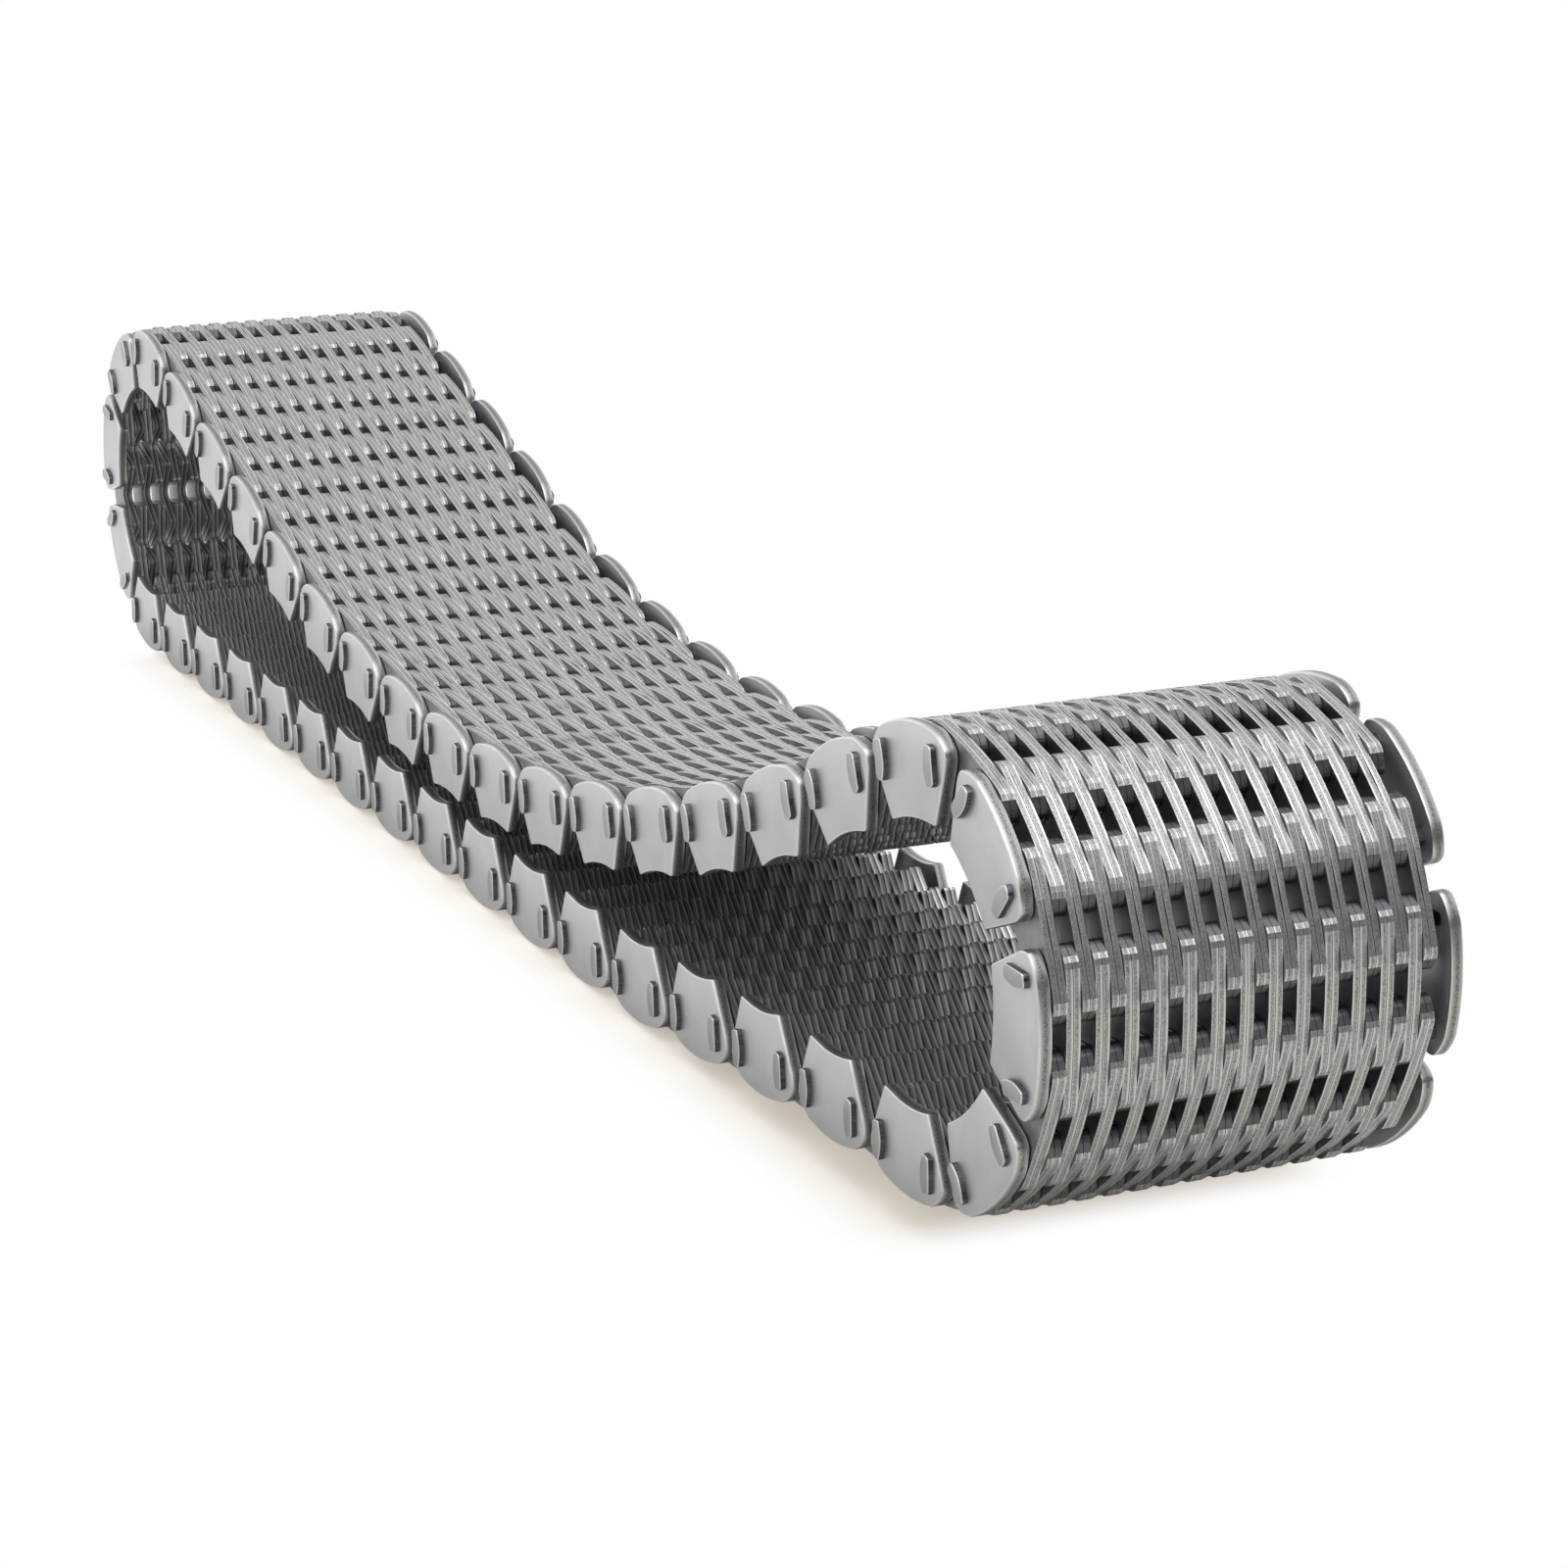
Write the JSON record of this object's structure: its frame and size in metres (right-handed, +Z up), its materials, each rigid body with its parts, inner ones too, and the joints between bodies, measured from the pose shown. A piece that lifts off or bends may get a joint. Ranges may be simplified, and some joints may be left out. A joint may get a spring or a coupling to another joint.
{
  "type": "silent chain",
  "caption": "Endless silent chain of toothed link plates and smooth guide plates on rocker pins, lying in a loop with curled ends.",
  "frame": {"origin": "on the floor under the middle of the loop's bounding box", "axes": "+X along the loop towards the near curl, Y along the pins, +Z up"},
  "size_m": [0.3598, 0.0494, 0.0566],
  "materials": {
    "plate_steel": "bare hardened steel, finely brushed, light oil"
  },
  "bodies": {
    "guide_row_01": {"guide_row_01": "plate_steel"},
    "plain_row_02": {"plain_row_02": "plate_steel"},
    "guide_row_03": {"guide_row_03": "plate_steel"},
    "plain_row_04": {"plain_row_04": "plate_steel"},
    "guide_row_05": {"guide_row_05": "plate_steel"},
    "plain_row_06": {"plain_row_06": "plate_steel"},
    "guide_row_07": {"guide_row_07": "plate_steel"},
    "plain_row_08": {"plain_row_08": "plate_steel"},
    "guide_row_09": {"guide_row_09": "plate_steel"},
    "plain_row_10": {"plain_row_10": "plate_steel"},
    "guide_row_11": {"guide_row_11": "plate_steel"},
    "plain_row_12": {"plain_row_12": "plate_steel"},
    "guide_row_13": {"guide_row_13": "plate_steel"},
    "row_pair_14_15": {"row_pair_14_15": "plate_steel"},
    "row_pair_16_17": {"row_pair_16_17": "plate_steel"},
    "row_pair_18_19": {"row_pair_18_19": "plate_steel"},
    "row_pair_20_21": {"row_pair_20_21": "plate_steel"},
    "row_pair_22_23": {"row_pair_22_23": "plate_steel"},
    "row_pair_24_25": {"row_pair_24_25": "plate_steel"},
    "row_pair_26_27": {"row_pair_26_27": "plate_steel"},
    "row_pair_28_29": {"row_pair_28_29": "plate_steel"},
    "row_pair_30_31": {"row_pair_30_31": "plate_steel"},
    "row_pair_32_33": {"row_pair_32_33": "plate_steel"},
    "row_pair_34_35": {"row_pair_34_35": "plate_steel"},
    "plain_row_36": {"plain_row_36": "plate_steel"},
    "guide_row_37": {"guide_row_37": "plate_steel"},
    "plain_row_38": {"plain_row_38": "plate_steel"},
    "guide_row_39": {"guide_row_39": "plate_steel"},
    "plain_row_40": {"plain_row_40": "plate_steel"},
    "guide_row_41": {"guide_row_41": "plate_steel"},
    "plain_row_42": {"plain_row_42": "plate_steel"},
    "guide_row_43": {"guide_row_43": "plate_steel"},
    "plain_row_44": {"plain_row_44": "plate_steel"},
    "guide_row_45": {"guide_row_45": "plate_steel"},
    "plain_row_46": {"plain_row_46": "plate_steel"},
    "guide_row_47": {"guide_row_47": "plate_steel"},
    "plain_row_48": {"plain_row_48": "plate_steel"},
    "guide_row_49": {"guide_row_49": "plate_steel"},
    "plain_row_50": {"plain_row_50": "plate_steel"},
    "guide_row_51": {"guide_row_51": "plate_steel"},
    "plain_row_52": {"plain_row_52": "plate_steel"},
    "guide_row_53": {"guide_row_53": "plate_steel"},
    "plain_row_54": {"plain_row_54": "plate_steel"},
    "guide_row_55": {"guide_row_55": "plate_steel"},
    "row_pair_56_57": {"row_pair_56_57": "plate_steel"},
    "row_pair_58_59": {"row_pair_58_59": "plate_steel"},
    "row_pair_60_61": {"row_pair_60_61": "plate_steel"},
    "row_pair_62_63": {"row_pair_62_63": "plate_steel"},
    "row_pair_64_65": {"row_pair_64_65": "plate_steel"},
    "row_pair_66_67": {"row_pair_66_67": "plate_steel"},
    "row_pair_68_69": {"row_pair_68_69": "plate_steel"},
    "row_pair_70_71": {"row_pair_70_71": "plate_steel"},
    "row_pair_72_73": {"row_pair_72_73": "plate_steel"},
    "plain_row_74": {"plain_row_74": "plate_steel"},
    "guide_row_75": {"guide_row_75": "plate_steel"},
    "plain_row_76": {"plain_row_76": "plate_steel"},
    "guide_row_77": {"guide_row_77": "plate_steel"},
    "plain_row_78": {"plain_row_78": "plate_steel"},
    "guide_row_79": {"guide_row_79": "plate_steel"},
    "plain_row_80": {"plain_row_80": "plate_steel"}
  },
  "joints": [
    {"name": "rocker_joint_01_02", "type": "hinge", "parent": "plain_row_02", "child": "guide_row_01", "pos_m": [0.17504, 0, 0.02496], "axis": [0, 1, 0], "range_deg": [0, 29.28]},
    {"name": "rocker_joint_02_03", "type": "hinge", "parent": "guide_row_03", "child": "plain_row_02", "pos_m": [0.17075, 0, 0.01646], "axis": [0, 1, 0], "range_deg": [0, 29.28]},
    {"name": "rocker_joint_03_04", "type": "hinge", "parent": "plain_row_04", "child": "guide_row_03", "pos_m": [0.16323, 0, 0.01061], "axis": [0, 1, 0], "range_deg": [0, 29.28]},
    {"name": "rocker_joint_04_05", "type": "hinge", "parent": "guide_row_05", "child": "plain_row_04", "pos_m": [0.15394, 0, 0.00852], "axis": [0, 1, 0], "range_deg": [0, 16.64]},
    {"name": "rocker_joint_05_06", "type": "hinge", "parent": "plain_row_06", "child": "guide_row_05", "pos_m": [0.14441, 0, 0.00852], "axis": [0, 1, 0], "range_deg": [0, 4]},
    {"name": "rocker_joint_06_07", "type": "hinge", "parent": "guide_row_07", "child": "plain_row_06", "pos_m": [0.13489, 0, 0.00852], "axis": [0, 1, 0], "range_deg": [0, 2.67]},
    {"name": "rocker_joint_07_08", "type": "hinge", "parent": "plain_row_08", "child": "guide_row_07", "pos_m": [0.12537, 0, 0.0083], "axis": [0, 1, 0], "range_deg": [0, 2.67]},
    {"name": "rocker_joint_08_09", "type": "hinge", "parent": "guide_row_09", "child": "plain_row_08", "pos_m": [0.11585, 0, 0.00786], "axis": [0, 1, 0], "range_deg": [0, 2.67]},
    {"name": "rocker_joint_09_10", "type": "hinge", "parent": "plain_row_10", "child": "guide_row_09", "pos_m": [0.10635, 0, 0.00719], "axis": [0, 1, 0], "range_deg": [0, 4]},
    {"name": "rocker_joint_10_11", "type": "hinge", "parent": "guide_row_11", "child": "plain_row_10", "pos_m": [0.09685, 0, 0.00653], "axis": [0, 1, 0], "range_deg": [0, 4]},
    {"name": "rocker_joint_11_12", "type": "hinge", "parent": "plain_row_12", "child": "guide_row_11", "pos_m": [0.08735, 0, 0.00587], "axis": [0, 1, 0], "range_deg": [0, 4]},
    {"name": "rocker_joint_12_13", "type": "hinge", "parent": "guide_row_13", "child": "plain_row_12", "pos_m": [0.07785, 0, 0.0052], "axis": [0, 1, 0], "range_deg": [0, 5.33]},
    {"name": "rocker_joint_13_14", "type": "hinge", "parent": "row_pair_14_15", "child": "guide_row_13", "pos_m": [0.06833, 0, 0.00476], "axis": [0, 1, 0], "range_deg": [0, 5.33]},
    {"name": "rocker_joint_15_16", "type": "hinge", "parent": "row_pair_16_17", "child": "row_pair_14_15", "pos_m": [0.04928, 0, 0.00454], "axis": [0, 1, 0], "range_deg": [0, 4]},
    {"name": "rocker_joint_17_18", "type": "hinge", "parent": "row_pair_18_19", "child": "row_pair_16_17", "pos_m": [0.03023, 0, 0.00454], "axis": [0, 1, 0], "range_deg": [0, 4]},
    {"name": "rocker_joint_19_20", "type": "hinge", "parent": "row_pair_20_21", "child": "row_pair_18_19", "pos_m": [0.01118, 0, 0.00454], "axis": [0, 1, 0], "range_deg": [0, 4]},
    {"name": "rocker_joint_21_22", "type": "hinge", "parent": "row_pair_22_23", "child": "row_pair_20_21", "pos_m": [-0.00787, 0, 0.00454], "axis": [0, 1, 0], "range_deg": [0, 4]},
    {"name": "rocker_joint_23_24", "type": "hinge", "parent": "row_pair_24_25", "child": "row_pair_22_23", "pos_m": [-0.02692, 0, 0.00454], "axis": [0, 1, 0], "range_deg": [0, 4]},
    {"name": "rocker_joint_25_26", "type": "hinge", "parent": "row_pair_24_25", "child": "row_pair_26_27", "pos_m": [-0.04597, 0, 0.00454], "axis": [0, -1, 0], "range_deg": [0, 4]},
    {"name": "rocker_joint_27_28", "type": "hinge", "parent": "row_pair_26_27", "child": "row_pair_28_29", "pos_m": [-0.06502, 0, 0.00454], "axis": [0, -1, 0], "range_deg": [0, 4]},
    {"name": "rocker_joint_29_30", "type": "hinge", "parent": "row_pair_28_29", "child": "row_pair_30_31", "pos_m": [-0.08407, 0, 0.00454], "axis": [0, -1, 0], "range_deg": [0, 4]},
    {"name": "rocker_joint_31_32", "type": "hinge", "parent": "row_pair_30_31", "child": "row_pair_32_33", "pos_m": [-0.10312, 0, 0.00454], "axis": [0, -1, 0], "range_deg": [0, 4]},
    {"name": "rocker_joint_33_34", "type": "hinge", "parent": "row_pair_32_33", "child": "row_pair_34_35", "pos_m": [-0.12217, 0, 0.00454], "axis": [0, -1, 0], "range_deg": [0, 4]},
    {"name": "rocker_joint_35_36", "type": "hinge", "parent": "row_pair_34_35", "child": "plain_row_36", "pos_m": [-0.14122, 0, 0.00454], "axis": [0, -1, 0], "range_deg": [0, 4]},
    {"name": "rocker_joint_36_37", "type": "hinge", "parent": "plain_row_36", "child": "guide_row_37", "pos_m": [-0.15074, 0, 0.00454], "axis": [0, -1, 0], "range_deg": [0, 10.87]},
    {"name": "rocker_joint_37_38", "type": "hinge", "parent": "guide_row_37", "child": "plain_row_38", "pos_m": [-0.1602, 0, 0.00568], "axis": [0, -1, 0], "range_deg": [0, 28.9]},
    {"name": "rocker_joint_38_39", "type": "hinge", "parent": "plain_row_38", "child": "guide_row_39", "pos_m": [-0.1683, 0, 0.01069], "axis": [0, -1, 0], "range_deg": [0, 28.33]},
    {"name": "rocker_joint_39_40", "type": "hinge", "parent": "guide_row_39", "child": "plain_row_40", "pos_m": [-0.17361, 0, 0.0186], "axis": [0, -1, 0], "range_deg": [0, 27.76]},
    {"name": "rocker_joint_40_41", "type": "hinge", "parent": "plain_row_40", "child": "guide_row_41", "pos_m": [-0.17529, 0, 0.02797], "axis": [0, -1, 0], "range_deg": [0, 27.19]},
    {"name": "rocker_joint_41_42", "type": "hinge", "parent": "guide_row_41", "child": "plain_row_42", "pos_m": [-0.17314, 0, 0.03725], "axis": [0, -1, 0], "range_deg": [0, 26.62]},
    {"name": "rocker_joint_42_43", "type": "hinge", "parent": "plain_row_42", "child": "guide_row_43", "pos_m": [-0.16758, 0, 0.04499], "axis": [0, -1, 0], "range_deg": [0, 26.05]},
    {"name": "rocker_joint_43_44", "type": "hinge", "parent": "guide_row_43", "child": "plain_row_44", "pos_m": [-0.15953, 0, 0.05008], "axis": [0, -1, 0], "range_deg": [0, 25.49]},
    {"name": "rocker_joint_44_45", "type": "hinge", "parent": "plain_row_44", "child": "guide_row_45", "pos_m": [-0.15017, 0, 0.05186], "axis": [0, -1, 0], "range_deg": [0, 24.92]},
    {"name": "rocker_joint_45_46", "type": "hinge", "parent": "guide_row_45", "child": "plain_row_46", "pos_m": [-0.1408, 0, 0.05018], "axis": [0, -1, 0], "range_deg": [0, 10.87]},
    {"name": "rocker_joint_46_47", "type": "hinge", "parent": "plain_row_46", "child": "guide_row_47", "pos_m": [-0.13169, 0, 0.0474], "axis": [0, -1, 0], "range_deg": [0, 4]},
    {"name": "rocker_joint_47_48", "type": "hinge", "parent": "guide_row_47", "child": "plain_row_48", "pos_m": [-0.12258, 0, 0.04461], "axis": [0, -1, 0], "range_deg": [0, 4]},
    {"name": "rocker_joint_48_49", "type": "hinge", "parent": "plain_row_48", "child": "guide_row_49", "pos_m": [-0.11347, 0, 0.04183], "axis": [0, -1, 0], "range_deg": [0, 4]},
    {"name": "rocker_joint_49_50", "type": "hinge", "parent": "guide_row_49", "child": "plain_row_50", "pos_m": [-0.10436, 0, 0.03904], "axis": [0, -1, 0], "range_deg": [0, 4]},
    {"name": "rocker_joint_50_51", "type": "hinge", "parent": "plain_row_50", "child": "guide_row_51", "pos_m": [-0.09525, 0, 0.03626], "axis": [0, -1, 0], "range_deg": [0, 4]},
    {"name": "rocker_joint_51_52", "type": "hinge", "parent": "guide_row_51", "child": "plain_row_52", "pos_m": [-0.08614, 0, 0.03347], "axis": [0, -1, 0], "range_deg": [0, 4]},
    {"name": "rocker_joint_52_53", "type": "hinge", "parent": "plain_row_52", "child": "guide_row_53", "pos_m": [-0.07703, 0, 0.03069], "axis": [0, -1, 0], "range_deg": [0, 2.22]},
    {"name": "rocker_joint_53_54", "type": "hinge", "parent": "guide_row_53", "child": "plain_row_54", "pos_m": [-0.06784, 0, 0.02819], "axis": [0, -1, 0], "range_deg": [0, 2.22]},
    {"name": "rocker_joint_54_55", "type": "hinge", "parent": "plain_row_54", "child": "guide_row_55", "pos_m": [-0.05858, 0, 0.02598], "axis": [0, -1, 0], "range_deg": [0, 2.22]},
    {"name": "rocker_joint_55_56", "type": "hinge", "parent": "guide_row_55", "child": "row_pair_56_57", "pos_m": [-0.04925, 0, 0.02405], "axis": [0, -1, 0], "range_deg": [0, 2.22]},
    {"name": "rocker_joint_57_58", "type": "hinge", "parent": "row_pair_56_57", "child": "row_pair_58_59", "pos_m": [-0.03044, 0, 0.02108], "axis": [0, -1, 0], "range_deg": [0, 2.22]},
    {"name": "rocker_joint_59_60", "type": "hinge", "parent": "row_pair_58_59", "child": "row_pair_60_61", "pos_m": [-0.01147, 0, 0.01928], "axis": [0, -1, 0], "range_deg": [0, 2.22]},
    {"name": "rocker_joint_61_62", "type": "hinge", "parent": "row_pair_60_61", "child": "row_pair_62_63", "pos_m": [0.00756, 0, 0.01867], "axis": [0, -1, 0], "range_deg": [0, 2.22]},
    {"name": "rocker_joint_63_64", "type": "hinge", "parent": "row_pair_62_63", "child": "row_pair_64_65", "pos_m": [0.0266, 0, 0.01924], "axis": [0, -1, 0], "range_deg": [0, 2.22]},
    {"name": "rocker_joint_65_66", "type": "hinge", "parent": "row_pair_64_65", "child": "row_pair_66_67", "pos_m": [0.04557, 0, 0.02099], "axis": [0, -1, 0], "range_deg": [0, 2.22]},
    {"name": "rocker_joint_67_68", "type": "hinge", "parent": "row_pair_66_67", "child": "row_pair_68_69", "pos_m": [0.06439, 0, 0.02392], "axis": [0, -1, 0], "range_deg": [0, 2.22]},
    {"name": "rocker_joint_69_70", "type": "hinge", "parent": "row_pair_68_69", "child": "row_pair_70_71", "pos_m": [0.08299, 0, 0.02802], "axis": [0, -1, 0], "range_deg": [0, 2.22]},
    {"name": "rocker_joint_71_72", "type": "hinge", "parent": "row_pair_70_71", "child": "row_pair_72_73", "pos_m": [0.10131, 0, 0.03326], "axis": [0, -1, 0], "range_deg": [0, 2.22]},
    {"name": "rocker_joint_73_74", "type": "hinge", "parent": "row_pair_72_73", "child": "plain_row_74", "pos_m": [0.11926, 0, 0.03963], "axis": [0, -1, 0], "range_deg": [0, 2.22]},
    {"name": "rocker_joint_74_75", "type": "hinge", "parent": "plain_row_74", "child": "guide_row_75", "pos_m": [0.12807, 0, 0.04324], "axis": [0, -1, 0], "range_deg": [0, 4]},
    {"name": "rocker_joint_75_76", "type": "hinge", "parent": "guide_row_75", "child": "plain_row_76", "pos_m": [0.13689, 0, 0.04684], "axis": [0, -1, 0], "range_deg": [0, 4]},
    {"name": "rocker_joint_76_77", "type": "hinge", "parent": "plain_row_76", "child": "guide_row_77", "pos_m": [0.14571, 0, 0.05044], "axis": [0, -1, 0], "range_deg": [0, 16.64]},
    {"name": "rocker_joint_77_78", "type": "hinge", "parent": "guide_row_77", "child": "plain_row_78", "pos_m": [0.1551, 0, 0.05202], "axis": [0, -1, 0], "range_deg": [0, 29.28]},
    {"name": "rocker_joint_78_79", "type": "hinge", "parent": "plain_row_78", "child": "guide_row_79", "pos_m": [0.16427, 0, 0.04945], "axis": [0, -1, 0], "range_deg": [0, 29.28]},
    {"name": "rocker_joint_79_80", "type": "hinge", "parent": "guide_row_79", "child": "plain_row_80", "pos_m": [0.17146, 0, 0.0432], "axis": [0, -1, 0], "range_deg": [0, 29.28]}
  ]
}
